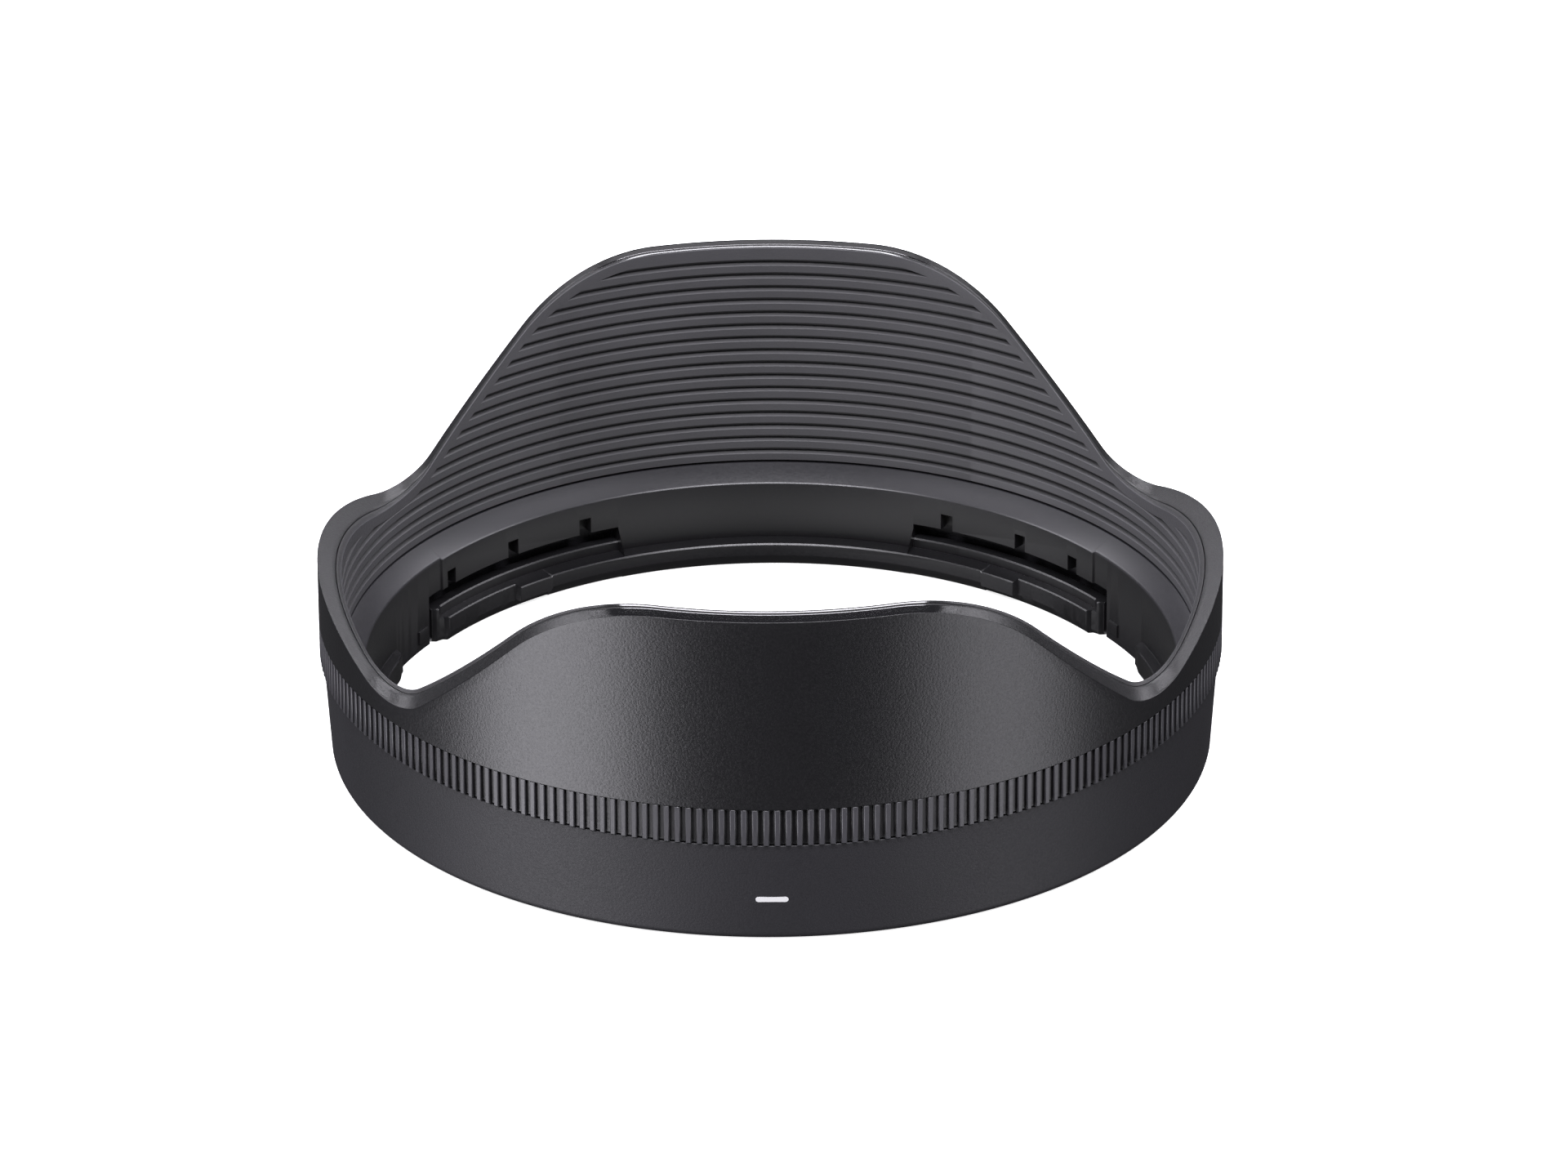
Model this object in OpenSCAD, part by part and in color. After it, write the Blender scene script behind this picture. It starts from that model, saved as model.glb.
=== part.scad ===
// Petal-shaped lens hood. Millimetres, +Z towards the subject.
// The origin is the centre of the mount end's face, z = 0. The two tall
// petals stand on the -Y and +Y sides, the two low ones on -X and +X.

/* [Outside] */
// radius of the smooth outer wall
outer_r = 42; // [30:0.1:60]
// radius of the skirt just above its rounded bottom edge
skirt_r = 41.1; // [30:0.1:60]
// draft of the skirt, widening upwards
skirt_draft = 3.6; // [0:0.1:8]
// rounding of the skirt's bottom edge
skirt_edge_r = 0.8; // [0.2:0.1:1.4]
// height of the skirt
skirt_h = 9.8; // [6:0.1:14]

/* [Grip band] */
// bottom of the ribbed band
band_z = 9.95; // [7:0.05:15]
// height of the ribbed band
band_h = 3.55; // [2:0.05:8]
// number of ribs around the band
rib_count = 264; // [60:4:360]
// depth of the grooves between the ribs
rib_depth = 0.35; // [0.1:0.05:0.6]
// share of the pitch taken by a rib's crest
rib_crest = 0.40; // [0.2:0.01:0.6]
// share of the pitch taken by a rib's two flanks together
rib_flank = 0.20; // [0.05:0.01:0.4]

/* [Petals] */
// height of the tall petals
petal_h = 32.2; // [20:0.1:60]
// half width of the level part of a tall petal's rim
petal_flat = 10.5; // [2:0.1:20]
// radius of a tall petal's shoulder
petal_shoulder_r = 17.3; // [5:0.1:30]
// steepness of a tall petal's flank, seen from the front
petal_slope = 47.9; // [20:0.1:75]
// height of the low petals at the hood's widest point
side_h = 19.4; // [10:0.1:40]
// rise of a low petal's rim, seen from the front
side_slope = 33.8; // [0:0.1:60]
// radius of the valley between two petals
valley_r = 4; // [1:0.1:10]

/* [Walls] */
// inside radius of the outer shell, where the liner is seated
shell_in_r = 40.3; // [30:0.05:60]
// crest radius of the liner's light-trap ridges
liner_in_r = 39.75; // [30:0.05:60]
// radial play of the seated liner and rings
seat_play = 0.05; // [0.01:0.01:0.1]
// how far the liner stops below the rim
liner_drop = 0.1; // [0:0.05:1]
// number of light-trap grooves
groove_count = 17; // [4:1:30]
// axial pitch of the grooves
groove_pitch = 1.327; // [0.5:0.001:3]
// height of the lowest groove's top edge
groove_z = 9.7; // [8:0.05:14]
// depth of a groove
groove_depth = 0.32; // [0.1:0.01:0.5]
// height of a groove's mouth
groove_h = 0.75; // [0.3:0.01:1.2]

/* [Mount] */
// radius of the bayonet lips, the part that grips the lens
lip_r = 35.9; // [25:0.05:50]
// radius of the seat wall above the lips
wall_r = 37.6; // [26:0.05:52]
// radius of the relieved wall at the sides
side_wall_r = 37.85; // [26:0.05:52]
// height of the lips
lip_h = 2.5; // [1:0.1:5]
// height at which a lip's lead-in chamfer begins
lip_chamfer_z = 1.25; // [0.3:0.05:3]
// radius of the mouth at the bottom face
mouth_r = 36.75; // [26:0.05:52]
// height of the sharp inner edge of the shoulder
shoulder_z = 8.2; // [5:0.1:12]
// height of the shoulder's outer end, where the liner stands
shoulder_top = 9.45; // [6:0.05:14]
// outside radius of the mount ring's lower part
ring_out_r = 39.55; // [30:0.05:60]
// height at which the mount ring steps outwards
ring_step_z = 7; // [4:0.1:10]

/* [Latch arms] */
// azimuth of an arm's root, from the middle of a tall petal
arm_root = 22.4; // [10:0.1:40]
// azimuth of an arm's free end
arm_tip = 58.4; // [40:0.1:70]
// height of an arm
arm_h = 3.5; // [2:0.1:6]
// top of the slot above an arm
slot_top = 4.95; // [3:0.05:8]
// outside radius of an arm
arm_out_r = 38.8; // [30:0.05:50]
// radius of the catch flange along an arm
flange_r = 36.6; // [26:0.05:50]
// azimuth where the lip ends and the stop block begins
lip_end = 35.1; // [20:0.1:50]
// azimuth of the stop block's far end
block_end = 41.3; // [30:0.1:60]
// height of the stop block's underside
block_z = 0.85; // [0:0.05:2]
// radius of the root's round knuckle
knuckle_r = 1.05; // [0.5:0.05:2]
// radial play of the knuckle in its seat
knuckle_play = 0.04; // [0.01:0.01:0.1]
// distance of the knuckle's axis from the hood's axis
knuckle_at = 37.3; // [30:0.05:45]
// gap between an arm's end face and the ring, in degrees
root_gap = 0.12; // [0.05:0.01:0.5]

/* [Index mark] */
// length of the white index dash
index_len = 2.95; // [1:0.05:10]
// height of the dash
index_h = 0.55; // [0.3:0.05:2]
// height of the dash's centre above the bottom face
index_z = 4.25; // [1:0.05:8]
// azimuth of the dash from the middle of the near petal
index_az = -0.7; // [-10:0.1:10]

/* [Hidden] */
$fn = 180;
eps = 0.01;
tall = 60;                     // well past the top of everything
skirt_top_r = skirt_r + (skirt_h - skirt_edge_r) * tan(skirt_draft);
band_in_r = 41.1;              // seat of the grip band on the shell
spigot_r = 40.7;               // outside of the shell's spigot
side_start = 59.2;             // where the side part of the ring begins
side_wall_from = 55.6;         // where the wall above the slot steps out
side_lip_from = 69;            // tip of a side lip
side_lip_r = 36.75;
notch_az = [27.7, 40.4];       // windows above the slot
notch_last = [53.4, 50.9];     // the outermost one, on one diagonal and the other
notch_half = 0.95;
notch_top = 6.6;
notch_out_r = 38.9;
arm_z = 0.05;                  // an arm hangs just clear of the bottom face
pad_az = [59.5, 61.9];
pad_z = [0.85, 2.15];

// ---------------------------------------------------------------- helpers

// a section swept about +Z, from azimuth a0 to a1 measured from +Y towards -X
module arc(a0, a1) {
    rotate([0, 0, 90 + a0]) rotate_extrude(angle = a1 - a0) children();
}

// the same stretch and its twin on the other side of the hood
module both_sides() {
    children();
    rotate([0, 0, 180]) children();
}

// all four mirror images about the X and Y planes
module four() {
    for (mx = [0, 1], my = [0, 1])
        mirror([mx, 0, 0]) mirror([0, my, 0]) children();
}

// a ring of rectangular section
module ring(r_in, r_out, z0, z1) {
    rotate_extrude() translate([r_in, z0]) square([r_out - r_in, z1 - z0]);
}

// ------------------------------------------------------------ rim outline

function cross2(a, b) = a[0] * b[1] - a[1] * b[0];

// where the tall petal's shoulder passes into its flank
shoulder_end = [petal_flat + petal_shoulder_r * sin(petal_slope),
                petal_h - petal_shoulder_r * (1 - cos(petal_slope))];
flank_dir = [cos(petal_slope), -sin(petal_slope)];
side_dir = [cos(side_slope), sin(side_slope)];
side_point = [outer_r, side_h];

// the sharp corner of flank and low petal, and the valley's fillet centre
valley = shoulder_end + flank_dir * cross2(side_point - shoulder_end, side_dir)
         / cross2(flank_dir, side_dir);
flank_n = [sin(petal_slope), cos(petal_slope)];
side_n = [-sin(side_slope), cos(side_slope)];
valley_c = valley + valley_r * (flank_n + side_n) / (1 + flank_n * side_n);

// right half of the rim, seen from the front: [x, z] from the middle outwards
rim_half = concat(
    [for (i = [0:16]) let (a = petal_slope * i / 16)
        [petal_flat + petal_shoulder_r * sin(a),
         petal_h - petal_shoulder_r * (1 - cos(a))]],
    [for (i = [0:14]) let (a = 270 - petal_slope
                               + (petal_slope + side_slope) * i / 14)
        valley_c + valley_r * [cos(a), sin(a)]],
    [side_point + 5 * side_dir]);

rim_line = concat([for (i = [len(rim_half) - 1:-1:0]) [-rim_half[i][0], rim_half[i][1]]],
                  rim_half);

// everything above the rim, which is one outline cut straight through the
// hood from front to back; drop lowers the cut
module above_rim(drop = 0) {
    last = rim_half[len(rim_half) - 1];
    translate([0, tall, -drop]) rotate([90, 0, 0])
        linear_extrude(height = 2 * tall)
            polygon(concat(rim_line, [[last[0], tall], [-last[0], tall]]));
}

// ------------------------------------------------------------- sub-parts

// outer shell with the four petals, the band's seat and the spigot
module petal_shell() {
    color("#1c1c1e") difference() {
        rotate_extrude() polygon([
            [shell_in_r, ring_step_z], [spigot_r, ring_step_z],
            [spigot_r, band_z], [band_in_r, band_z],
            [band_in_r, band_z + band_h], [outer_r, band_z + band_h],
            [outer_r, petal_h + 1], [shell_in_r, petal_h + 1]]);
        above_rim();
    }
}

// ribbed light-trap sleeve inside the shell
module baffle_liner() {
    out_r = shell_in_r - seat_play;
    color("#151517") difference() {
        ring(liner_in_r, out_r, shoulder_top, petal_h + 1);
        above_rim(liner_drop);
        for (i = [0:groove_count - 1])
            rotate_extrude() translate([0, groove_z + i * groove_pitch])
                polygon([[liner_in_r - 1, 0], [liner_in_r + groove_depth, 0],
                         [liner_in_r, -groove_h], [liner_in_r - 1, -groove_h]]);
    }
}

// ribbed band pressed onto the shell's seat
module grip_ring() {
    pitch = 360 / rib_count;
    crest = pitch * rib_crest / 2;
    foot = crest + pitch * rib_flank / 2;
    floor_r = outer_r - rib_depth;
    color("#202022") translate([0, 0, band_z])
        linear_extrude(height = band_h - eps) difference() {
            polygon([for (i = [0:rib_count - 1])
                each [for (p = [[-foot, floor_r], [-crest, outer_r],
                                [crest, outer_r], [foot, floor_r]])
                    let (a = pitch * i + p[0]) p[1] * [cos(a), sin(a)]]]);
            circle(r = band_in_r + seat_play);
        }
}

// the dash's outline, driven in from outside at height index_z
module index_prism(grow, depth) {
    half = index_len / 2 - index_h / 2;
    rotate([0, 0, index_az]) translate([0, -skirt_top_r - 1, index_z])
        rotate([-90, 0, 0]) {
            for (s = [-1, 1]) translate([s * half, 0, 0])
                cylinder(r = index_h / 2 + grow, h = depth + 1);
            translate([-half, -index_h / 2 - grow, 0])
                cube([2 * half, index_h + 2 * grow, depth + 1]);
        }
}

// skirt's outside as a solid, grown outwards by g
module skirt_body(g = 0) {
    rotate_extrude() {
        polygon([[0, 0], [skirt_r - skirt_edge_r, 0], [skirt_r + g, skirt_edge_r],
                 [skirt_top_r + g, skirt_h], [0, skirt_h]]);
        translate([skirt_r - skirt_edge_r + g, skirt_edge_r])
            intersection() {
                circle(r = skirt_edge_r);
                translate([0, -skirt_edge_r]) square(skirt_edge_r);
            }
    }
}

// tapered skirt at the mount end, with a pocket for the index mark
module base_ring() {
    color("#1a1a1c") difference() {
        skirt_body();
        translate([0, 0, -1]) cylinder(r = ring_out_r + seat_play, h = tall);
        translate([0, 0, ring_step_z - 0.1])
            cylinder(r = spigot_r + seat_play, h = tall);
        index_prism(0.02, 1.2);
    }
}

// white index dash let into the skirt
module index_mark() {
    color("#e6e6e4") intersection() {
        index_prism(0, 1.15);
        skirt_body(0.02);
    }
}

// section of a lip between radii, from its lead-in chamfer up
module lip_section(r) {
    polygon([[r, lip_chamfer_z], [r, lip_h], [wall_r + 0.3, lip_h],
             [wall_r + 0.3, 0], [mouth_r, 0]]);
}

// the mount ring before its lips are divided: seat, shoulder and one round lip
module ring_blank() {
    out_r = shell_in_r - seat_play;
    rotate_extrude() polygon([
        [lip_r, lip_chamfer_z], [lip_r, lip_h], [wall_r, lip_h],
        [wall_r, shoulder_z], [liner_in_r, shoulder_top], [out_r, shoulder_top],
        [out_r, ring_step_z], [ring_out_r, ring_step_z], [ring_out_r, 0],
        [mouth_r, 0]]);
}

// ring that carries the seat, the bayonet lips and the arms' sockets
module mount_ring() {
    wall_back = side_wall_r + 0.5;
    color("#18181a") difference() {
        union() {
            difference() {
                ring_blank();
                // room for the arms and the slots above them
                four() arc(arm_root - root_gap, side_start)
                    translate([lip_r - 2, -1]) square([8, slot_top + 1]);
                // relieved wall at the sides
                both_sides() arc(side_wall_from, 180 - side_wall_from)
                    translate([lip_r - 2, -1])
                        square([side_wall_r - lip_r + 2, tall]);
            }
            both_sides() arc(side_lip_from + 3, 177 - side_lip_from)
                polygon([[side_lip_r, 0.3], [side_lip_r, lip_h],
                         [wall_back, lip_h], [wall_back, 0.02],
                         [side_lip_r + 0.3, 0.02]]);
            four() {
                // pointed end of a short lip, and the pad beside it
                arc(side_lip_from, side_lip_from + 3.2) polygon([
                    [side_lip_r + 0.25, 0.2], [side_lip_r + 0.25, lip_h - 0.4],
                    [wall_back, lip_h + 0.35], [wall_back, 0.2]]);
                arc(pad_az[0], pad_az[1]) translate([wall_r, pad_z[0]])
                    square([wall_back - wall_r, pad_z[1] - pad_z[0]]);
            }
        }
        // windows above the slot
        for (mx = [0, 1], my = [0, 1]) mirror([mx, 0, 0]) mirror([0, my, 0])
            for (a = concat(notch_az, [notch_last[mx == my ? 0 : 1]]))
                arc(a - notch_half, a + notch_half)
                    translate([wall_r - 1, slot_top - 1])
                        square([notch_out_r - wall_r + 1, notch_top - slot_top + 1]);
        // sockets of the arms' knuckles
        four() knuckle(knuckle_r + knuckle_play, -1, lip_h + knuckle_play);
    }
}

// the knuckle at an arm's root
module knuckle(r, z0, z1) {
    rotate([0, 0, 90 + arm_root]) translate([knuckle_at, 0, z0])
        cylinder(r = r, h = z1 - z0);
}

// one sprung arm: strip, lip end, stop block, catch flange and end post
module latch_arm() {
    root = arm_root + root_gap;
    color("#1b1b1d") union() {
        arc(root, arm_tip - 1.1)
            translate([wall_r, arm_z]) square([arm_out_r - wall_r, arm_h - arm_z]);
        intersection() {
            arc(root, lip_end) lip_section(lip_r);
            translate([0, 0, arm_z]) cylinder(r = outer_r, h = tall);
        }
        arc(lip_end - 0.1, arm_tip - 2)
            polygon([[flange_r, arm_z + 0.25], [flange_r, lip_h],
                     [wall_r + 0.3, lip_h], [wall_r + 0.3, arm_z],
                     [flange_r + 0.25, arm_z]]);
        arc(lip_end - 0.1, block_end)
            translate([lip_r, block_z])
                square([flange_r - lip_r + 0.2, lip_h - block_z]);
        // rounded end post
        arc(arm_tip - 2.1, arm_tip - 1.1)
            translate([wall_r - 0.25, arm_z])
                square([arm_out_r - wall_r + 0.25, arm_h - arm_z]);
        rotate([0, 0, 90 + arm_tip - 1.1])
            translate([(wall_r - 0.25 + arm_out_r) / 2, 0, arm_z])
                cylinder(d = arm_out_r - wall_r + 0.25, h = arm_h - arm_z);
        knuckle(knuckle_r, arm_z, lip_h);
    }
}

module latch_arm_rear_left() latch_arm();
module latch_arm_rear_right() mirror([1, 0, 0]) latch_arm();
module latch_arm_front_left() mirror([0, 1, 0]) latch_arm();
module latch_arm_front_right() mirror([1, 0, 0]) mirror([0, 1, 0]) latch_arm();

petal_shell();
baffle_liner();
grip_ring();
base_ring();
mount_ring();
latch_arm_rear_left();
latch_arm_rear_right();
latch_arm_front_left();
latch_arm_front_right();
index_mark();
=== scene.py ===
"""Looks for the petal-shaped lens hood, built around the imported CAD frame."""
import math

import bmesh
import bpy
from mathutils import Matrix, Vector


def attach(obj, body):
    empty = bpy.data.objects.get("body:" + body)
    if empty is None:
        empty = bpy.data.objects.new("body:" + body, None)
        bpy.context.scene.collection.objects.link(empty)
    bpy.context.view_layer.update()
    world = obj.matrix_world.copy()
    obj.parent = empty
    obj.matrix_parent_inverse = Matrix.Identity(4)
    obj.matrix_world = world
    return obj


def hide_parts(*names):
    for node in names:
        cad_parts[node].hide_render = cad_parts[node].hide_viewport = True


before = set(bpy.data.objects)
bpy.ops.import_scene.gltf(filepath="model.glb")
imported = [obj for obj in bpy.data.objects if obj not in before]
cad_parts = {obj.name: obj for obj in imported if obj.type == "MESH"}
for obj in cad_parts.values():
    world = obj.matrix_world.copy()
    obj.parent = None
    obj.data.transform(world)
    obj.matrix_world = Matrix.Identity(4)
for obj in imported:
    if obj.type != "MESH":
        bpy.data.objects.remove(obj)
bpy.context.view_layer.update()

MM = 0.001
HAIR = 0.001           # keeps two points of a section apart where a step closes up
SHARP_R = 1e-4         # radius of a corner that stays sharp, in the same point count

# ------------------------------------------------------------------ sizes
# Millimetres, the same values as part.scad, but for five that were set closer to the
# photo in the looks alone and are marked "looks".
OUTER_R = 42.0
SKIRT_R = 41.1
SKIRT_DRAFT = 3.6
SKIRT_EDGE_R = 0.8
SKIRT_H = 9.8
SKIRT_TOP_R = SKIRT_R + (SKIRT_H - SKIRT_EDGE_R) * math.tan(math.radians(SKIRT_DRAFT))
BAND_Z = 9.95
BAND_H = 3.55
BAND_IN_R = 41.1
RIB_COUNT = 264
RIB_DEPTH = 0.35
PETAL_H = 32.2
PETAL_FLAT = 10.5
PETAL_SHOULDER_R = 17.3
PETAL_SLOPE = math.radians(47.9)
SIDE_H = 19.4
SIDE_SLOPE = math.radians(33.8)
VALLEY_R = 4.0
SHELL_IN_R = 40.3
SPIGOT_R = 40.7
LINER_IN_R = 39.75
LINER_OUT_R = 40.25
GROOVE_COUNT = 17
GROOVE_PITCH = 1.327
GROOVE_Z = 9.70
GROOVE_DEPTH = 0.42    # looks
GROOVE_H = 0.60        # looks
SHOULDER_TOP = 9.45
RING_OUT_R = 39.55
RING_STEP_Z = 7.0
LIP_R = 35.9
WALL_R = 37.6
SIDE_WALL_R = 37.85
LIP_H = 2.5
LIP_CHAMFER_Z = 1.25
MOUTH_R = 36.75
SHOULDER_Z = 8.2
SLOT_TOP = 4.95
ARM_ROOT = 22.4
ARM_TIP = 58.0         # looks
ARM_H = 3.5
ARM_OUT_R = 38.8
ARM_Z = 0.05
FLANGE_R = 36.6
LIP_END = 35.1
BLOCK_END = 41.3
BLOCK_Z = 0.85
SIDE_START = 58.7      # looks
SIDE_WALL_FROM = 55.6
SIDE_LIP_FROM = 69.0
SIDE_LIP_R = 36.75
NOTCH_AZ = (27.7, 40.4)
NOTCH_LAST = (53.4, 50.9)
NOTCH_HALF = 0.95
NOTCH_TOP = 6.6
NOTCH_OUT_R = 38.9
PAD_AZ = (59.5, 61.9)
PAD_Z = (0.85, 2.15)
INDEX_LEN = 2.95
INDEX_H = 0.55
INDEX_Z = 4.25
INDEX_AZ = math.radians(-0.7)
INDEX_SINK = 1.0       # how deep the dash is let into the skirt
INDEX_PROUD = 0.02

# Edges and small falls that only the looks have.
CROWN = 0.10           # fall of the rim's flat towards its outer edge
EDGE = 0.07            # rounding of the shell's outer edge
INNER_EDGE = 0.06      # rounding of the shell's inner edge
SEAT_EDGE = 0.08       # chamfer above the grip band
LINER_EDGE = 0.10      # rounding of the liner's inner edge
LINER_DROP = 0.10
LINER_MARGIN = 0.95    # smooth strip between the rim and the grooves
RIB_EDGE = 0.06        # chamfer of the ribs' ends
RIB_CREST = 0.44       # looks: width of a rib's crest, as a share of the pitch
RIB_FOOT = 0.56        # width of a rib's foot, likewise
SKIRT_TOP_EDGE = 0.06
BROW = 0.14            # width of the bevel on the shelf's inner edge
SIDE_FOOT_Z = 0.4      # where the plain side wall's foot begins to round off
SIDE_LIP_TAPER = 3.4   # degrees that a short lip's pointed end takes to grow
SIDE_LIP_POINT = 0.62  # share of its depth that the lip has at the point
SIDE_LIP_RISE = 0.35   # how far the lip's top slopes at the point
POST_BEFORE_TIP = 1.75     # degrees from where an arm's flange ends to the arm's tip
POST_R = WALL_R - 0.25     # inner face of an arm's end post

# ------------------------------------------------------------- rim outline


def _cross(a, b):
    return a[0] * b[1] - a[1] * b[0]


# The shoulder's end, then the flank and the side line, which meet in a rounded valley.
_end = (PETAL_FLAT + PETAL_SHOULDER_R * math.sin(PETAL_SLOPE),
        PETAL_H - PETAL_SHOULDER_R * (1 - math.cos(PETAL_SLOPE)))
_flank = (math.cos(PETAL_SLOPE), -math.sin(PETAL_SLOPE))
_side = (math.cos(SIDE_SLOPE), math.sin(SIDE_SLOPE))
_t = _cross((OUTER_R - _end[0], SIDE_H - _end[1]), _side) / _cross(_flank, _side)
_corner = (_end[0] + _t * _flank[0], _end[1] + _t * _flank[1])
_fn = (math.sin(PETAL_SLOPE), math.cos(PETAL_SLOPE))
_sn = (-math.sin(SIDE_SLOPE), math.cos(SIDE_SLOPE))
_k = VALLEY_R / (1 + _fn[0] * _sn[0] + _fn[1] * _sn[1])
_vc = (_corner[0] + _k * (_fn[0] + _sn[0]), _corner[1] + _k * (_fn[1] + _sn[1]))
_v0 = _vc[0] - VALLEY_R * _fn[0]
_v1 = _vc[0] - VALLEY_R * _sn[0]


def rim(x):
    """Height and slope of the rim at |x|, seen from the front."""
    x = abs(x)
    if x <= PETAL_FLAT:
        return PETAL_H, 0.0
    if x <= _end[0]:
        u = x - PETAL_FLAT
        h = math.sqrt(PETAL_SHOULDER_R ** 2 - u * u)
        return PETAL_H - PETAL_SHOULDER_R + h, -u / h
    if x <= _v0:
        return _end[1] - (x - _end[0]) * math.tan(PETAL_SLOPE), -math.tan(PETAL_SLOPE)
    if x <= _v1:
        u = x - _vc[0]
        h = math.sqrt(VALLEY_R ** 2 - u * u)
        return _vc[1] - h, u / h
    return SIDE_H + (x - OUTER_R) * math.tan(SIDE_SLOPE), math.tan(SIDE_SLOPE)


# --------------------------------------------------------------- mesh tools


def finish_mesh(name, verts, faces, sharp=30.0):
    """A mesh object from millimetre points, smooth but for edges sharper than an angle."""
    me = bpy.data.meshes.new(name)
    me.from_pydata([(x * MM, y * MM, z * MM) for x, y, z in verts], [], faces)
    return settle(name, me, sharp)


def settle(name, me, sharp=30.0):
    """An object for a mesh, with its normals outwards and its sharp edges marked."""
    bm = bmesh.new()
    bm.from_mesh(me)
    bmesh.ops.recalc_face_normals(bm, faces=bm.faces)
    limit = math.radians(sharp)
    for f in bm.faces:
        f.smooth = True
    for e in bm.edges:
        if len(e.link_faces) == 2:
            e.smooth = e.calc_face_angle(0.0) < limit
    bm.to_mesh(me)
    bm.free()
    ob = bpy.data.objects.new(name, me)
    bpy.context.scene.collection.objects.link(ob)
    return ob


def swept(name, columns, azimuths, closed=True, sharp=30.0):
    """Columns of (r, z) points, one closed section per azimuth, joined into a solid."""
    verts, faces = [], []
    n, m = len(columns), len(columns[0])
    for col, a in zip(columns, azimuths):
        s, c = math.sin(a), math.cos(a)
        verts += [(-r * s, r * c, z) for r, z in col]
    for i in range(n if closed else n - 1):
        a, b = i * m, ((i + 1) % n) * m
        for j in range(m):
            k = (j + 1) % m
            faces.append((a + j, b + j, b + k, a + k))
    if not closed:
        faces.append(tuple(range(m)))
        faces.append(tuple((n - 1) * m + j for j in range(m)))
    return finish_mesh(name, verts, faces, sharp)


def revolve(name, section, steps, sharp=30.0):
    """One section swept all the way round."""
    az = [2 * math.pi * i / steps for i in range(steps)]
    return swept(name, [section] * steps, az, True, sharp)


def rounded(points, radii, steps):
    """A closed outline with each corner rounded by its own radius."""
    out = []
    n = len(points)
    for i, (p, r) in enumerate(zip(points, radii)):
        if r <= 0:
            out.append(p)
            continue
        a, b = Vector(points[i - 1]), Vector(points[(i + 1) % n])
        p = Vector(p)
        u, w = (a - p), (b - p)
        lu, lw = u.length, w.length
        u, w = u.normalized(), w.normalized()
        half = u.angle(w) / 2
        t = min(r / math.tan(half), 0.49 * lu, 0.49 * lw)
        r = t * math.tan(half)
        c = p + (u + w).normalized() * (r / math.sin(half))
        p0, p1 = p + u * t, p + w * t
        a0, a1 = math.atan2(*(p0 - c).yx), math.atan2(*(p1 - c).yx)
        d = (a1 - a0 + math.pi) % (2 * math.pi) - math.pi
        for k in range(steps + 1):
            a = a0 + d * k / steps
            out.append((c.x + r * math.cos(a), c.y + r * math.sin(a)))
    return out


def boolean(ob, other, operation="DIFFERENCE"):
    """Cuts or joins another solid, which is used up."""
    m = ob.modifiers.new("cut", "BOOLEAN")
    m.operation = operation
    m.solver = "MANIFOLD"
    m.object = other
    bpy.context.view_layer.update()
    dg = bpy.context.evaluated_depsgraph_get()
    me = bpy.data.meshes.new_from_object(ob.evaluated_get(dg))
    ob.modifiers.remove(m)
    old = ob.data
    ob.data = me
    bpy.data.meshes.remove(old)
    bpy.data.objects.remove(other)


# ------------------------------------------------------------ outer pieces


def rim_at(r, a, drop=0.0):
    """Height of the rim line at a radius and an azimuth, less a drop."""
    return rim(r * math.sin(a))[0] - drop


def edge_stretch(r, a):
    """Vertical length per unit of distance square to the rim's edge on the wall."""
    s = rim(r * math.sin(a))[1] * math.cos(a)
    return math.sqrt(1 + s * s)


def shell_section(a):
    """The shell's section: spigot, band seat, wall, then the rim from outside to inside."""
    ko = edge_stretch(OUTER_R, a)
    ki = edge_stretch(SHELL_IN_R, a)
    top = []
    for k in range(5):
        t = math.radians(90 * k / 4)
        r = OUTER_R - EDGE * (1 - math.cos(t))
        z = rim_at(r, a) - CROWN - EDGE * ko * (1 - math.sin(t))
        top.append((r, z))
    for f in (0.25, 0.5, 0.75):
        r = OUTER_R - EDGE - f * (OUTER_R - SHELL_IN_R - EDGE - INNER_EDGE)
        w = (r - SHELL_IN_R) / (OUTER_R - SHELL_IN_R)
        top.append((r, rim_at(r, a) - CROWN * w))
    for k in range(3):
        t = math.radians(90 * k / 2)
        r = SHELL_IN_R + INNER_EDGE * (1 - math.sin(t))
        top.append((r, rim_at(r, a) - INNER_EDGE * ki * (1 - math.cos(t))))
    z_mid = rim_at(OUTER_R, a) - 1.2 * ko
    seat = BAND_Z + BAND_H
    return [(SHELL_IN_R, RING_STEP_Z), (SPIGOT_R, RING_STEP_Z), (SPIGOT_R, BAND_Z),
            (BAND_IN_R, BAND_Z), (BAND_IN_R, seat), (OUTER_R - SEAT_EDGE, seat),
            (OUTER_R, seat + SEAT_EDGE), (OUTER_R, z_mid)] + top


def petal_shell():
    """The outer shell, with the tall and the low petals."""
    n = 960
    az = [2 * math.pi * i / n for i in range(n)]
    return swept("shell", [shell_section(a) for a in az], az, sharp=38)


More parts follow.
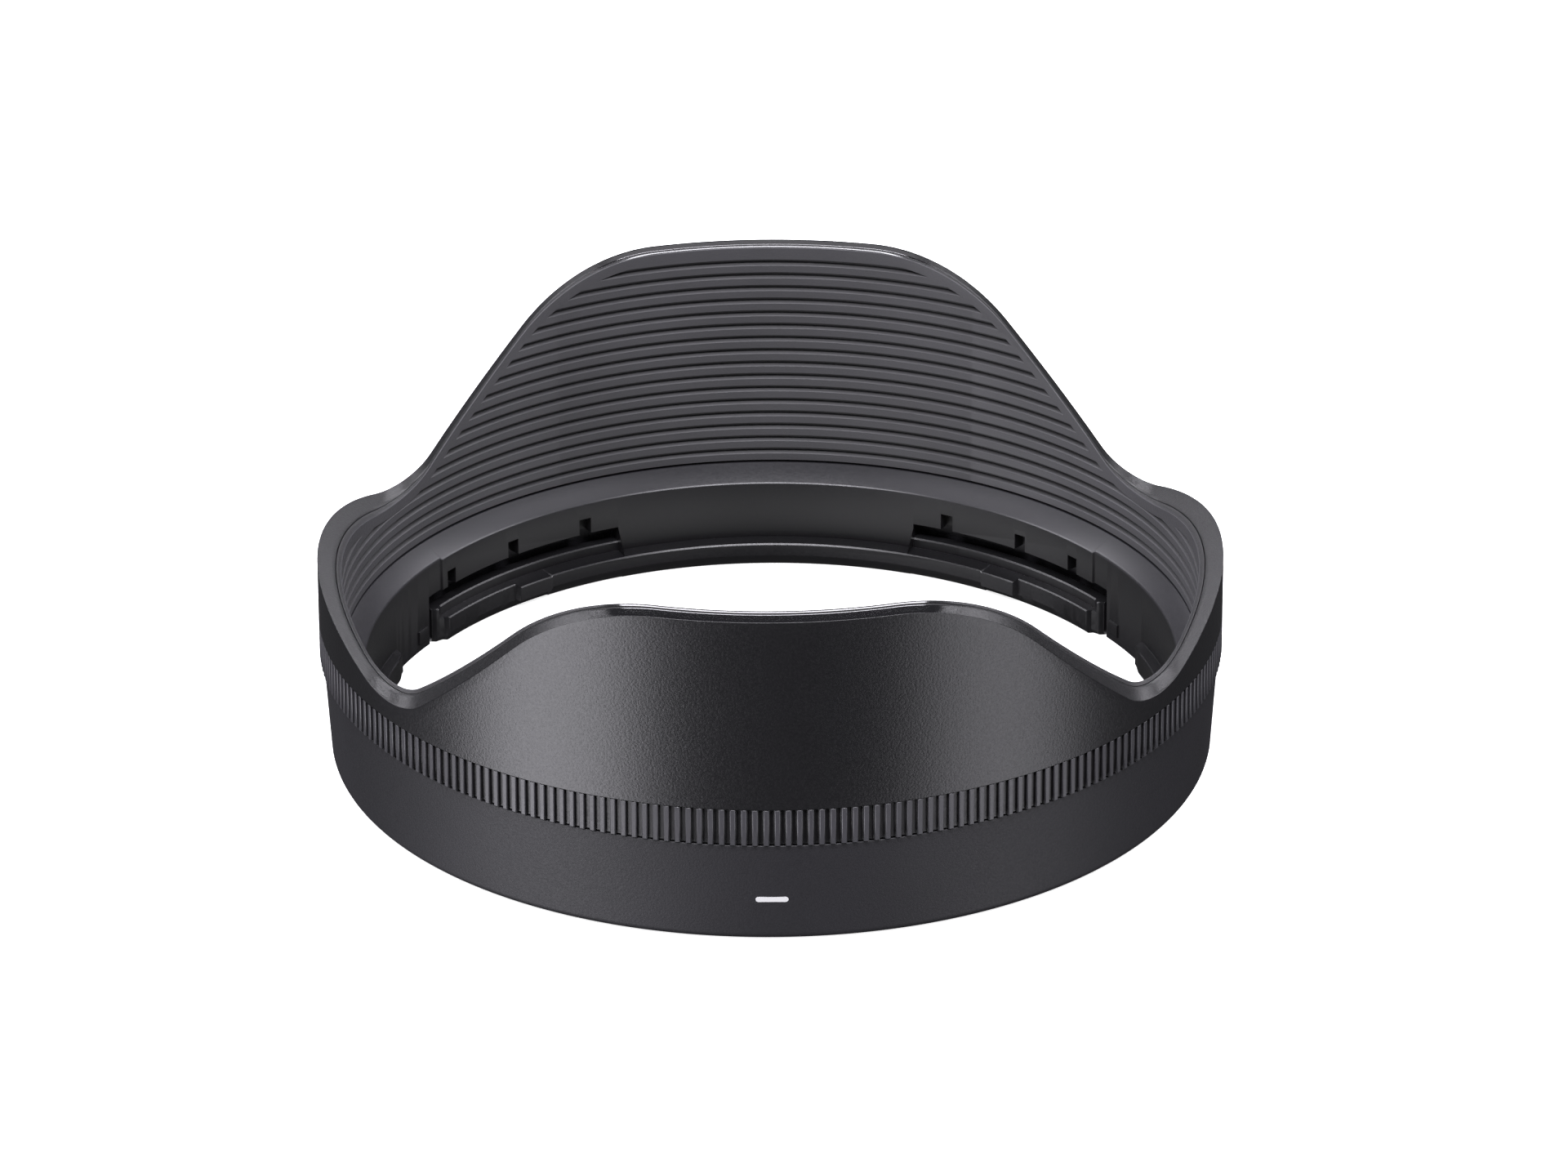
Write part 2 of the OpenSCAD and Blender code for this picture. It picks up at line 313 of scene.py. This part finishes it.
def prism_above(name, drop):
    """A solid that fills everything above the rim line lowered by drop."""
    xs = ([0.0] + [PETAL_FLAT * i / 4 for i in range(1, 5)]
          + [PETAL_FLAT + PETAL_SHOULDER_R * math.sin(PETAL_SLOPE * i / 24)
             for i in range(1, 25)]
          + [_vc[0] + VALLEY_R * math.cos(math.radians(270) - PETAL_SLOPE
                                          + (PETAL_SLOPE + SIDE_SLOPE) * i / 20)
             for i in range(21)] + [OUTER_R + 3])
    line = [(x, rim(x)[0] - drop(x)) for x in xs]
    line = [(-x, z) for x, z in reversed(line[1:])] + line
    outline = line + [(line[-1][0], 60.0), (line[0][0], 60.0)]
    n = len(outline)
    verts = [(x, -60, z) for x, z in outline] + [(x, 60, z) for x, z in outline]
    faces = [tuple(range(n)), tuple(range(2 * n - 1, n - 1, -1))]
    faces += [(i, (i + 1) % n, n + (i + 1) % n, n + i) for i in range(n)]
    return finish_mesh(name, verts, faces)


def liner_section(a):
    """The plain sleeve: its top is level with the rim and ends in a rounded inner edge."""
    ki = edge_stretch(LINER_IN_R, a)
    top = [(r, rim_at(r, a))
           for r in (LINER_OUT_R, LINER_OUT_R - 0.1, LINER_IN_R + LINER_EDGE)]
    for k in range(1, 6):
        t = math.radians(90 * k / 5)
        top.append((LINER_IN_R + LINER_EDGE * (1 - math.sin(t)),
                    rim_at(LINER_IN_R, a, LINER_EDGE * ki * (1 - math.cos(t)))))
    return [(LINER_IN_R, SHOULDER_TOP), (LINER_OUT_R, SHOULDER_TOP)] + top


def groove_profile():
    """One pitch of the light trap, from its ledge downwards: (depth, fall)."""
    d, h = GROOVE_DEPTH, GROOVE_H
    return [(0.0, 0.02), (0.02, 0.0), (d - 0.04, 0.0), (d, -0.04), (d, -0.34),
            (0.13, -h + 0.06), (0.04, -h), (0.0, -h - 0.04)]


def baffle_liner():
    """A sleeve with the grooves turned in, below a smooth strip along the rim."""
    steps = 720
    az = [2 * math.pi * i / steps for i in range(steps)]
    sleeve = swept("liner", [liner_section(a) for a in az], az)
    back = LINER_IN_R - 1.0              # the cutter's own wall, clear of the sleeve
    comb = [(back, GROOVE_Z - 1.0)]
    for i in range(GROOVE_COUNT):
        z = GROOVE_Z + i * GROOVE_PITCH
        comb += [(LINER_IN_R + q, z + w) for q, w in reversed(groove_profile())]
        comb += [(LINER_IN_R - 0.02, z + 0.03)]
    comb += [(back, comb[-1][1])]
    cutter = revolve("cutter", comb, steps)
    # on the slopes the strip is measured partly along the wall, so it drops further
    boolean(cutter, prism_above(
        "cut", lambda x: LINER_DROP + LINER_MARGIN * math.sqrt(1 + 0.3 * rim(x)[1] ** 2)))
    boolean(sleeve, cutter)
    me = sleeve.data
    bpy.data.objects.remove(sleeve)
    me.name = "liner"
    return settle("liner", me, 34)


def grip_ring():
    """Trapezoid ribs with softened edges."""
    pitch = 2 * math.pi / RIB_COUNT
    floor_r = OUTER_R - RIB_DEPTH
    crest, foot = pitch * RIB_CREST / 2, pitch * RIB_FOOT / 2
    soft = pitch * 0.045
    rib = [(-foot - soft, floor_r), (-foot + soft * 0.3, floor_r + 0.05),
           (-crest - soft * 0.3, OUTER_R - 0.05), (-crest + soft, OUTER_R),
           (0.0, OUTER_R), (crest - soft, OUTER_R), (crest + soft * 0.3, OUTER_R - 0.05),
           (foot - soft * 0.3, floor_r + 0.05), (foot + soft, floor_r)]
    az, cols = [], []
    z0, z1 = BAND_Z, BAND_Z + BAND_H - 0.01
    inner = BAND_IN_R + 0.05
    for i in range(RIB_COUNT):
        for da, r in rib:
            az.append(i * pitch + da)
            cols.append([(inner, z0), (r - RIB_EDGE, z0), (r, z0 + RIB_EDGE),
                         (r, z1 - RIB_EDGE * 0.5), (r - RIB_EDGE * 0.5, z1), (inner, z1)])
    return swept("grip", cols, az, sharp=40)


def base_ring():
    """The tapered skirt, with a rounded bottom edge."""
    tan = math.tan(math.radians(SKIRT_DRAFT))
    bore, spigot = RING_OUT_R + 0.05, SPIGOT_R + 0.05
    sec = [(bore, 0.0)]
    sec += [(SKIRT_R - SKIRT_EDGE_R + SKIRT_EDGE_R * math.sin(t),
             SKIRT_EDGE_R - SKIRT_EDGE_R * math.cos(t))
            for t in [math.radians(90 * k / 8) for k in range(9)]]
    sec += [(SKIRT_R + (z - SKIRT_EDGE_R) * tan, z)
            for z in (2.5, 6.0, SKIRT_H - SKIRT_TOP_EDGE)]
    sec += [(SKIRT_TOP_R - SKIRT_TOP_EDGE, SKIRT_H), (spigot, SKIRT_H),
            (spigot, RING_STEP_Z - 0.1), (bore, RING_STEP_Z - 0.1)]
    return revolve("skirt", sec, 720, sharp=40)


def index_mark():
    """White dash with round ends, let into the skirt."""
    half, r = INDEX_LEN / 2 - INDEX_H / 2, INDEX_H / 2
    arc = 12                             # steps in each round end
    outline = []
    for s in (1, -1):
        for k in range(arc + 1):
            t = math.radians(-90 + 180 * k / arc)
            outline.append((s * half + s * r * math.cos(t), s * r * math.sin(t)))
    tan = math.tan(math.radians(SKIRT_DRAFT))
    ca, sa = math.cos(INDEX_AZ), math.sin(INDEX_AZ)
    verts, faces = [], []
    # how far the outline is drawn in, and how far it stands off the skirt
    levels = ((1.0, -INDEX_SINK), (1.0, 0.0), (0.92, INDEX_PROUD))
    for shrink, proud in levels:
        for u, w in outline:
            c = math.copysign(half, u)
            x, z = c + (u - c) * shrink, INDEX_Z + w * shrink
            rr = SKIRT_R + (z - SKIRT_EDGE_R) * tan + proud
            y = -math.sqrt(rr * rr - x * x)
            verts.append((x * ca - y * sa, x * sa + y * ca, z))
    n = len(outline)
    for lv in range(len(levels) - 1):
        for i in range(n):
            j = (i + 1) % n
            faces.append((lv * n + i, lv * n + j, (lv + 1) * n + j, (lv + 1) * n + i))
    for base in (0, (len(levels) - 1) * n):
        # rungs between each end's upper and lower points, then the part between the ends
        right = list(range(base, base + arc + 1))
        left = list(range(base + arc + 1, base + n))
        for end in (right, left):
            for k in range(arc // 2 - 1):
                faces.append((end[k], end[k + 1], end[arc - 1 - k], end[arc - k]))
            faces.append(tuple(end[arc // 2 - 1:arc // 2 + 2]))
        faces.append((right[0], right[-1], left[0], left[-1]))
    return finish_mesh("dash", verts, faces, 40)


# ---------------------------------------------------------- mount and arms


def ramp(a, start, end):
    """0 before start, 1 after end, and an eased rise between."""
    t = min(1.0, max(0.0, (a - start) / (end - start)))
    return t * t * (3 - 2 * t)


def stations(start, end, step, breaks, half=0.2, parts=6):
    """Azimuths in degrees, close together around each break."""
    out = set()
    n = max(1, round((end - start) / step))
    for i in range(n + 1):
        out.add(round(start + (end - start) * i / n, 4))
    for b in breaks:
        # the even steps next to a break make way for its own
        out = {a for a in out if abs(a - b) > half * 1.2 or a in (start, end)}
        for k in range(parts + 1):
            a = round(b - half + 2 * half * k / parts, 4)
            if start <= a <= end:
                out.add(a)
    return sorted(out)


def clean(ob):
    """Welds points that fell together where a section's step closes up."""
    bm = bmesh.new()
    bm.from_mesh(ob.data)
    bmesh.ops.remove_doubles(bm, verts=bm.verts, dist=2e-6)
    bmesh.ops.dissolve_degenerate(bm, edges=bm.edges, dist=1e-7)
    bm.to_mesh(ob.data)
    bm.free()


def mount_section(deg):
    """The mount ring's section at an azimuth in degrees from +Y."""
    a = abs((deg + 90.0) % 180.0 - 90.0)            # 0 at a tall petal, 90 at a low one
    wall = WALL_R + (SIDE_WALL_R - WALL_R) * ramp(a, SIDE_WALL_FROM - 0.15,
                                                  SIDE_WALL_FROM + 0.15)
    cone = (SHOULDER_TOP - SHOULDER_Z) / (LINER_IN_R - WALL_R)
    brow = SHOULDER_Z + (wall - WALL_R) * cone
    upper = [(LINER_OUT_R, SHOULDER_TOP), (LINER_IN_R, SHOULDER_TOP),
             (wall + BROW, brow + BROW * cone), (wall, brow - BROW * (1 - cone))]
    upper_r = [0, 0, 0, 0.03]
    outer = [(RING_OUT_R, RING_STEP_Z), (LINER_OUT_R, RING_STEP_Z)]
    if a <= ARM_ROOT - 0.06:
        # long lip, at the tall petals
        low = [(WALL_R, LIP_H), (LIP_R, LIP_H), (LIP_R, LIP_CHAMFER_Z), (MOUTH_R, 0.0),
               (RING_OUT_R, 0.0)]
        low_r = [0, 0.13, 0.10, 0.12, 0]
    elif a < SIDE_START:
        # slot above an arm
        z = SLOT_TOP
        low = [(wall, z + HAIR), (wall + 0.3, z), (wall + 0.6, z), (wall + 0.9, z),
               (RING_OUT_R, z)]
        low_r = [0.05, 0, 0, 0, 0]
    else:
        # side wall, then the short lips: f brings the lip's step, g eases its pointed end
        f = ramp(a, SIDE_LIP_FROM - 0.05, SIDE_LIP_FROM + 0.15)
        g = ramp(a, SIDE_LIP_FROM, SIDE_LIP_FROM + SIDE_LIP_TAPER)
        lip = wall - f * (wall - SIDE_LIP_R) * (SIDE_LIP_POINT + (1 - SIDE_LIP_POINT) * g)
        rise = f * SIDE_LIP_RISE * (1 - g)
        top = SIDE_FOOT_Z + f * (LIP_H - SIDE_FOOT_Z - 0.30 * (1 - g))
        low = [(wall, top + rise + HAIR), (lip - HAIR, top), (lip - HAIR, 0.3),
               (lip + 0.3 * f, 0.0), (RING_OUT_R, 0.0)]
        low_r = [0.05, 0.10 * f + HAIR, 0.05 * f + HAIR, 0.05, 0]
    pts, rad = upper + low + outer, upper_r + low_r + [0, 0]
    return rounded(pts, [r if r > 0 else SHARP_R for r in rad], 1)


def wedge(name, a0, a1, r0, r1, z0, z1, soft=0.0):
    """A short swept block between two azimuths in degrees, with soft edges."""
    steps = 8
    az = [math.radians(a0 + (a1 - a0) * i / steps) for i in range(steps + 1)]
    section = rounded([(r0, z0), (r0, z1), (r1, z1), (r1, z0)], [soft] * 4, 2)
    return swept(name, [section] * len(az), az, closed=False)


def mirrored_azimuths(quarter, a0, a1):
    """A feature's span of azimuths in one of the four quarters, which are numbered as
    in ARMS: rear left, rear right, front left, front right."""
    return ((a0, a1), (-a1, -a0), (180 - a1, 180 - a0), (180 + a0, 180 + a1))[quarter]


def mount_ring():
    """The swept ring, less the notches above the slots, plus the small pads."""
    quarter = stations(0, 90, 0.75, [ARM_ROOT, SIDE_WALL_FROM, SIDE_START, SIDE_LIP_FROM])
    # two places where the section changes at once, so only a hair's breadth apart
    quarter = [a for a in quarter if abs(a - ARM_ROOT) > 0.21 and abs(a - SIDE_START) > 0.21]
    quarter = sorted(quarter + [ARM_ROOT - 0.07, ARM_ROOT - 0.05,
                                SIDE_START - 0.01, SIDE_START + 0.01])
    degs = quarter + [180 - a for a in reversed(quarter[:-1])]
    degs += [180 + a for a in degs[1:-1]]
    ring = swept("mount", [mount_section(d) for d in degs],
                 [math.radians(d) for d in degs], sharp=30)
    clean(ring)
    for q in range(4):
        for a in NOTCH_AZ + (NOTCH_LAST[0 if q in (0, 3) else 1],):
            a0, a1 = mirrored_azimuths(q, a - NOTCH_HALF, a + NOTCH_HALF)
            boolean(ring, wedge("cut", a0, a1, WALL_R - 1, NOTCH_OUT_R, SLOT_TOP - 1,
                                NOTCH_TOP))
        a0, a1 = mirrored_azimuths(q, *PAD_AZ)
        pad = wedge("pad", a0, a1, SIDE_WALL_R - 0.2, SIDE_WALL_R + 0.4, *PAD_Z, soft=0.07)
        boolean(ring, pad, "UNION")
    me = ring.data
    bpy.data.objects.remove(ring)
    return settle("mount", me, 30)


def arm_section(a):
    """A latch arm's section at an azimuth in degrees from the middle of the tall petal."""
    end = ARM_TIP - POST_BEFORE_TIP
    # how far each feature has come in: lip end, stop block, flange, post, round tip
    block = ramp(a, LIP_END - 0.02, LIP_END + 0.12)
    flange = ramp(a, BLOCK_END - 0.12, BLOCK_END + 0.12)
    post = ramp(a, end - 0.1, end + 0.5)
    tip = ramp(a, ARM_TIP - 0.75, ARM_TIP)
    up = WALL_R + (POST_R - WALL_R) * ramp(a, end + 0.1, end + 0.45)
    r_mid = LIP_R + (FLANGE_R - LIP_R) * flange
    z_mid = LIP_H - 0.12 * block * (1 - flange)
    z_under = LIP_CHAMFER_Z + (BLOCK_Z - LIP_CHAMFER_Z) * block
    r_low = LIP_R + 0.4 * (1 - block) + (FLANGE_R - LIP_R) * block
    z_low = 0.65 + (BLOCK_Z - 0.65) * block
    r_foot = MOUTH_R + 0.10 * block
    # the flange's end eases back to the post
    r_mid += (POST_R - r_mid) * post
    r_low += (POST_R - r_low) * post
    r_foot += (POST_R + 0.12 - r_foot) * post
    z_under += (0.8 - z_under) * post
    z_low += (0.4 - z_low) * post
    # both faces draw in towards the middle at the tip
    half = (ARM_OUT_R - up) / 2
    pull = half * (1 - math.sqrt(1 - tip * tip * 0.96))
    out = ARM_OUT_R - pull
    up, r_mid, r_low, r_foot = (r + pull * 0.9 for r in (up, r_mid, r_low, r_foot))
    pts = [(out, ARM_Z), (out, ARM_H), (up, ARM_H), (up - HAIR, LIP_H + 0.02 - 0.1 * post),
           (r_mid - 2 * HAIR, z_mid - 0.1 * post), (r_mid - 2 * HAIR, z_under),
           (r_low, z_low), (r_foot, ARM_Z)]
    rad = [0.01, 0.05, 0.13, 0.002, 0.11, 0.06, 0.06, 0.08]
    return rounded(pts, rad, 1)


def latch_arm(quarter, name):
    """One sprung arm, from its root beside a tall petal to its free tip."""
    degs = stations(ARM_ROOT - 0.1, ARM_TIP, 0.75,
                    [LIP_END + 0.05, BLOCK_END, ARM_TIP - 2.0, ARM_TIP - 0.35], 0.4, 10)
    az = [math.radians(mirrored_azimuths(quarter, d, d)[0]) for d in degs]
    arm = swept(name, [arm_section(d) for d in degs], az, closed=False, sharp=42)
    clean(arm)
    return arm


# --------------------------------------------------------------- materials

TIP_Z = 27.5                       # the petals' rim is smooth above this height
LEVEL_FROM, LEVEL_TO = 0.93, 0.97  # how far up a face looks before it counts as level
NOISE_LOW, NOISE_HIGH = 0.3, 0.7   # the part of the noise's range that is used
BLOTCHES = 90.0                    # slow changes of tone, per metre


class Nodes:
    """A material's node tree, with short calls for the nodes used more than once."""

    def __init__(self, mat):
        mat.use_nodes = True
        self.tree = mat.node_tree
        self.tree.nodes.clear()
        self.coords = self.new("TexCoord")

    def new(self, kind):
        return self.tree.nodes.new("ShaderNode" + kind)

    def link(self, source, socket):
        self.tree.links.new(source, socket)

    def span(self, value, start, end, low, high):
        """A value's range from start to end, carried over to low to high."""
        node = self.new("MapRange")
        for key, number in (("From Min", start), ("From Max", end),
                            ("To Min", low), ("To Max", high)):
            node.inputs[key].default_value = number
        self.link(value, node.inputs["Value"])
        return node.outputs[0]

    def times(self, one, other):
        node = self.new("Math")
        node.operation = "MULTIPLY"
        self.link(one, node.inputs[0])
        self.link(other, node.inputs[1])
        return node.outputs[0]

    def shaded(self, colour, factor):
        node = self.new("VectorMath")
        node.operation = "SCALE"
        self.link(colour, node.inputs[0])
        self.link(factor, node.inputs["Scale"])
        return node.outputs[0]

    def height(self, coordinate):
        node = self.new("SeparateXYZ")
        self.link(self.coords.outputs[coordinate], node.inputs[0])
        return node.outputs["Z"]

    def distance(self, vector):
        node = self.new("VectorMath")
        node.operation = "LENGTH"
        self.link(vector, node.inputs[0])
        return node.outputs["Value"]

    def from_axis(self):
        """Distance from the hood's axis."""
        flat = self.new("VectorMath")
        flat.operation = "MULTIPLY"
        flat.inputs[1].default_value = (1, 1, 0)
        self.link(self.coords.outputs["Object"], flat.inputs[0])
        return self.distance(flat.outputs[0])

    def noise(self, scale, detail, roughness=0.5):
        node = self.new("TexNoise")
        node.inputs["Scale"].default_value = scale
        node.inputs["Detail"].default_value = detail
        node.inputs["Roughness"].default_value = roughness
        self.link(self.coords.outputs["Object"], node.inputs["Vector"])
        return node.outputs["Fac"]


def plastic(name, colour, rough, grain=0.25, bump=0.35, level=0.5, vary=0.12, crest=None,
            flats=None, shelf=None):
    """Moulded plastic: fine spark-eroded grain, with slow changes of tone and gloss.

    grain is the grain's size in mm. crest is (from radius, to radius, share of the tone at the
    first): painted shade that darkens the valleys. flats is the roughness of level faces at
    the petals' tips. shelf is (height, how many times paler above it): painted light on the
    shelf.
    """
    mat = bpy.data.materials.new(name)
    nt = Nodes(mat)
    bsdf = nt.new("BsdfPrincipled")
    bsdf.inputs["Specular IOR Level"].default_value = level
    bsdf.inputs["IOR"].default_value = 1.5
    nt.link(bsdf.outputs[0], nt.new("OutputMaterial").inputs[0])
    fine = nt.noise(1000.0 / grain, 2.0, 0.6)
    slow = nt.noise(BLOTCHES, 3.0)

    tones = nt.new("ValToRGB")
    for stop, place, gain in zip(tones.color_ramp.elements, (NOISE_LOW, NOISE_HIGH),
                                 (1 - vary, 1 + vary)):
        stop.position = place
        stop.color = [min(1, c * gain) for c in colour] + [1]
    nt.link(slow, tones.inputs[0])
    tone = tones.outputs[0]
    # painted shade: the tone drops towards the floor of each groove or valley between ribs
    if crest:
        low, high, valley_shade = crest
        tone = nt.shaded(tone, nt.span(nt.from_axis(), low * MM, high * MM, valley_shade, 1.0))
    # painted light: the shelf, which faces up, is made paler than the wall below it
    if shelf:
        height, shelf_light = shelf
        tone = nt.shaded(tone, nt.span(nt.height("Object"), (height - 0.02) * MM,
                                       (height + 0.02) * MM, 1.0, shelf_light))
    nt.link(tone, bsdf.inputs["Base Color"])

    gloss = nt.span(fine, NOISE_LOW, NOISE_HIGH, rough - 0.05, rough + 0.05)
    relief = fine
    if flats:
        up = nt.span(nt.height("Normal"), LEVEL_FROM, LEVEL_TO, 0.0, 1.0)
        tip = nt.span(nt.height("Object"), TIP_Z * MM, (TIP_Z + 1.5) * MM, 0.0, 1.0)
        level_top = nt.times(up, tip)
        gloss = nt.times(gloss, nt.span(level_top, 0.0, 1.0, 1.0, flats / rough))
        relief = nt.times(relief, nt.span(level_top, 0.0, 1.0, 1.0, 0.02))
    nt.link(gloss, bsdf.inputs["Roughness"])
    grained = nt.new("Bump")
    grained.inputs["Strength"].default_value = bump
    grained.inputs["Distance"].default_value = grain * MM * 0.12
    nt.link(relief, grained.inputs["Height"])
    nt.link(grained.outputs[0], bsdf.inputs["Normal"])
    return mat


INK = (0.0062, 0.0061, 0.0068)
MATS = {
    "shell": plastic("shell_plastic", INK, 0.34, grain=0.22, bump=0.9, flats=0.09),
    # painted shade darkens the inside of the liner's grooves
    "liner": plastic("liner_plastic", (0.036, 0.0353, 0.0386), 0.52, grain=0.22, bump=0.4,
                     crest=(39.98, 39.77, 0.30), flats=0.09),
    # painted shade darkens the valleys between the grip's ribs
    "grip": plastic("grip_plastic", (0.034, 0.0334, 0.0372), 0.42, bump=0.2,
                    crest=(41.74, 41.95, 0.10)),
    "base": plastic("base_plastic", (0.010, 0.0097, 0.0115), 0.56, grain=0.22, bump=0.9,
                    level=0.36),
    # painted light makes the mount's upward-facing shelf paler
    "mount": plastic("mount_plastic", INK, 0.34, bump=0.01, shelf=(8.12, 3.2)),
    "arm": plastic("arm_plastic", INK, 0.34, bump=0.01),
    "index": plastic("index_paint", (0.52, 0.52, 0.52), 0.5, bump=0.1, vary=0.03),
}


def dress(ob, slot):
    """Gives a piece its material."""
    ob.data.materials.clear()
    ob.data.materials.append(MATS[slot])


PIECES = [
    (petal_shell, "petal_shell", "shell"),
    (baffle_liner, "baffle_liner", "liner"),
    (grip_ring, "grip_ring", "grip"),
    (base_ring, "base_ring", "base"),
    (mount_ring, "mount_ring", "mount"),
    (index_mark, "index_mark", "index"),
]
for build, node, slot in PIECES:
    piece = build()
    dress(piece, slot)
    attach(piece, "hood")
    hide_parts(node)

ARMS = ("rear_left", "rear_right", "front_left", "front_right")
for quarter, place in enumerate(ARMS):
    piece = latch_arm(quarter, "arm_" + place)
    dress(piece, "arm")
    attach(piece, "arm_" + place)
    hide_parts("latch_arm_" + place)

# ------------------------------------------------------------------- stage

FLOOR_HALF = 6.0            # metres, as are the sizes and places of all that isn't the hood
FLOOR_Z = -0.00002          # a little below the hood
INSIDE_Z = -0.00001
# the glowing floor inside fades between these radii: painted shadow near the ring
GLOW_FULL, GLOW_GONE = 0.021, 0.034    # radii between which the floor inside darkens


def floor():
    """A plain white floor, which lights, shades and mirrors nothing."""
    me = bpy.data.meshes.new("floor")
    s = FLOOR_HALF
    me.from_pydata([(-s, -s, 0), (s, -s, 0), (s, s, 0), (-s, s, 0)], [], [(0, 1, 2, 3)])
    ob = bpy.data.objects.new("floor", me)
    ob.location.z = FLOOR_Z
    ob.visible_glossy = False
    ob.visible_diffuse = False
    ob.visible_shadow = False
    bpy.context.scene.collection.objects.link(ob)
    mat = bpy.data.materials.new("floor_white")
    mat.use_nodes = True
    b = mat.node_tree.nodes["Principled BSDF"]
    b.inputs["Base Color"].default_value = (0.9, 0.9, 0.9, 1)
    b.inputs["Roughness"].default_value = 0.8
    b.inputs["Specular IOR Level"].default_value = 0.0
    b.inputs["Emission Color"].default_value = (1, 1, 1, 1)
    b.inputs["Emission Strength"].default_value = 0.8
    me.materials.append(mat)


def hole_floor():
    """The floor below the mount as the inner walls reflect it, with painted shadow towards the
    ring.
    """
    rings = (0.022, 0.028, 0.033, 0.038)
    n = 96
    turns = [2 * math.pi * i / n for i in range(n)]
    verts = [(r * math.cos(t), r * math.sin(t), INSIDE_Z) for r in rings for t in turns]
    faces = [tuple(range(n))]
    for k in range(len(rings) - 1):
        faces += [(k * n + i, k * n + (i + 1) % n, (k + 1) * n + (i + 1) % n, (k + 1) * n + i)
                  for i in range(n)]
    me = bpy.data.meshes.new("floor_inside")
    me.from_pydata(verts, [], faces)
    mat = bpy.data.materials.new("floor_glow")
    nt = Nodes(mat)
    glow = nt.new("Emission")
    # painted shadow: the glow fades towards the ring
    nt.link(nt.span(nt.distance(nt.coords.outputs["Object"]), GLOW_FULL, GLOW_GONE, 0.9, 0.05),
            glow.inputs["Strength"])
    nt.link(glow.outputs[0], nt.new("OutputMaterial").inputs[0])
    me.materials.append(mat)
    ob = bpy.data.objects.new("floor_inside", me)
    ob.visible_camera = False
    ob.visible_shadow = False
    bpy.context.scene.collection.objects.link(ob)


floor()
hole_floor()

# ------------------------------------------------------------------ lights

STUDIO = (0.99, 0.975, 1.04)       # a slightly cool, violet light
AIM = Vector((0, 0, 0.015))        # the middle of the hood

world = bpy.data.worlds.new("studio")
bpy.context.scene.world = world
world.use_nodes = True
bg = world.node_tree.nodes["Background"]
bg.inputs[0].default_value = (0.95, 0.96, 1.0, 1)
bg.inputs[1].default_value = 0.05


def softbox(name, az, el, dist, width, height, radiance):
    """A soft light facing the hood, given the brightness of its face.

    The azimuth runs from the front (-Y) to the right, as seen from the hood.
    """
    a, e = math.radians(az), math.radians(el)
    where = Vector((dist * math.sin(a) * math.cos(e), -dist * math.cos(a) * math.cos(e),
                    dist * math.sin(e)))
    li = bpy.data.lights.new(name, "AREA")
    li.shape = "RECTANGLE"
    li.size, li.size_y = width, height
    li.energy = radiance * math.pi * width * height
    li.color = STUDIO
    ob = bpy.data.objects.new(name, li)
    ob.location = where
    ob.rotation_euler = (AIM - where).to_track_quat("-Z", "Y").to_euler()
    bpy.context.scene.collection.objects.link(ob)


softbox("key_left", -57, -14, 1.2, 0.86, 1.3, 5.8)
softbox("key_right", 58, -14, 1.2, 0.74, 1.3, 3.0)
softbox("back", 180, 19, 1.4, 0.9, 0.25, 0.5)
softbox("back_left", -150, 24, 1.4, 0.45, 0.40, 3.1)
softbox("back_right", 150, 24, 1.4, 0.45, 0.40, 3.1)
softbox("glint", 180, 27.6, 1.4, 0.50, 0.10, 12.0)
softbox("top", 180, 73, 1.3, 1.5, 0.6, 4.0)
softbox("front_high", 0, 60, 1.5, 1.5, 0.34, 24.0)
softbox("side_left", -107, 36, 1.4, 0.9, 0.5, 8.0)
softbox("side_right", 107, 36, 1.4, 0.9, 0.5, 7.0)

# ------------------------------------------------------------------ camera

CAM_EL = math.radians(26.811)
CAM_AZ = math.radians(-0.7)
CAM_DIST = 0.8466
CAM_DROP = 0.0002
PAN, TILT, ROLL = math.radians(0.086), math.radians(1.016), math.radians(0.294)
LENS = 207.47               # on a sensor 36 mm wide


def camera():
    """Looks at the hood's foot from the front, then pans, tilts and rolls a little."""
    eye = Vector((0, -CAM_DIST * math.cos(CAM_EL), CAM_DIST * math.sin(CAM_EL)))
    fwd = -eye.normalized()
    right = Vector((1, 0, 0))
    up = right.cross(fwd)
    cp, sp = math.cos(PAN), math.sin(PAN)
    right, fwd = cp * right - sp * fwd, sp * right + cp * fwd
    ct, st = math.cos(TILT), math.sin(TILT)
    up, fwd = ct * up - st * fwd, st * up + ct * fwd
    cr, sr = math.cos(ROLL), math.sin(ROLL)
    right, up = cr * right - sr * up, sr * right + cr * up
    m = Matrix((right, up, -fwd)).transposed().to_4x4()
    m.translation = eye - Vector((0, 0, CAM_DROP))
    cam = bpy.data.cameras.new("camera")
    cam.sensor_width = 36.0
    cam.sensor_fit = "HORIZONTAL"
    cam.lens = LENS
    cam.clip_start, cam.clip_end = 0.05, 50
    ob = bpy.data.objects.new("camera", cam)
    ob.matrix_world = Matrix.Rotation(CAM_AZ, 4, "Z") @ m
    bpy.context.scene.collection.objects.link(ob)
    bpy.context.scene.camera = ob


camera()
bpy.context.scene.view_settings.view_transform = "Standard"
bpy.context.scene.view_settings.look = "None"
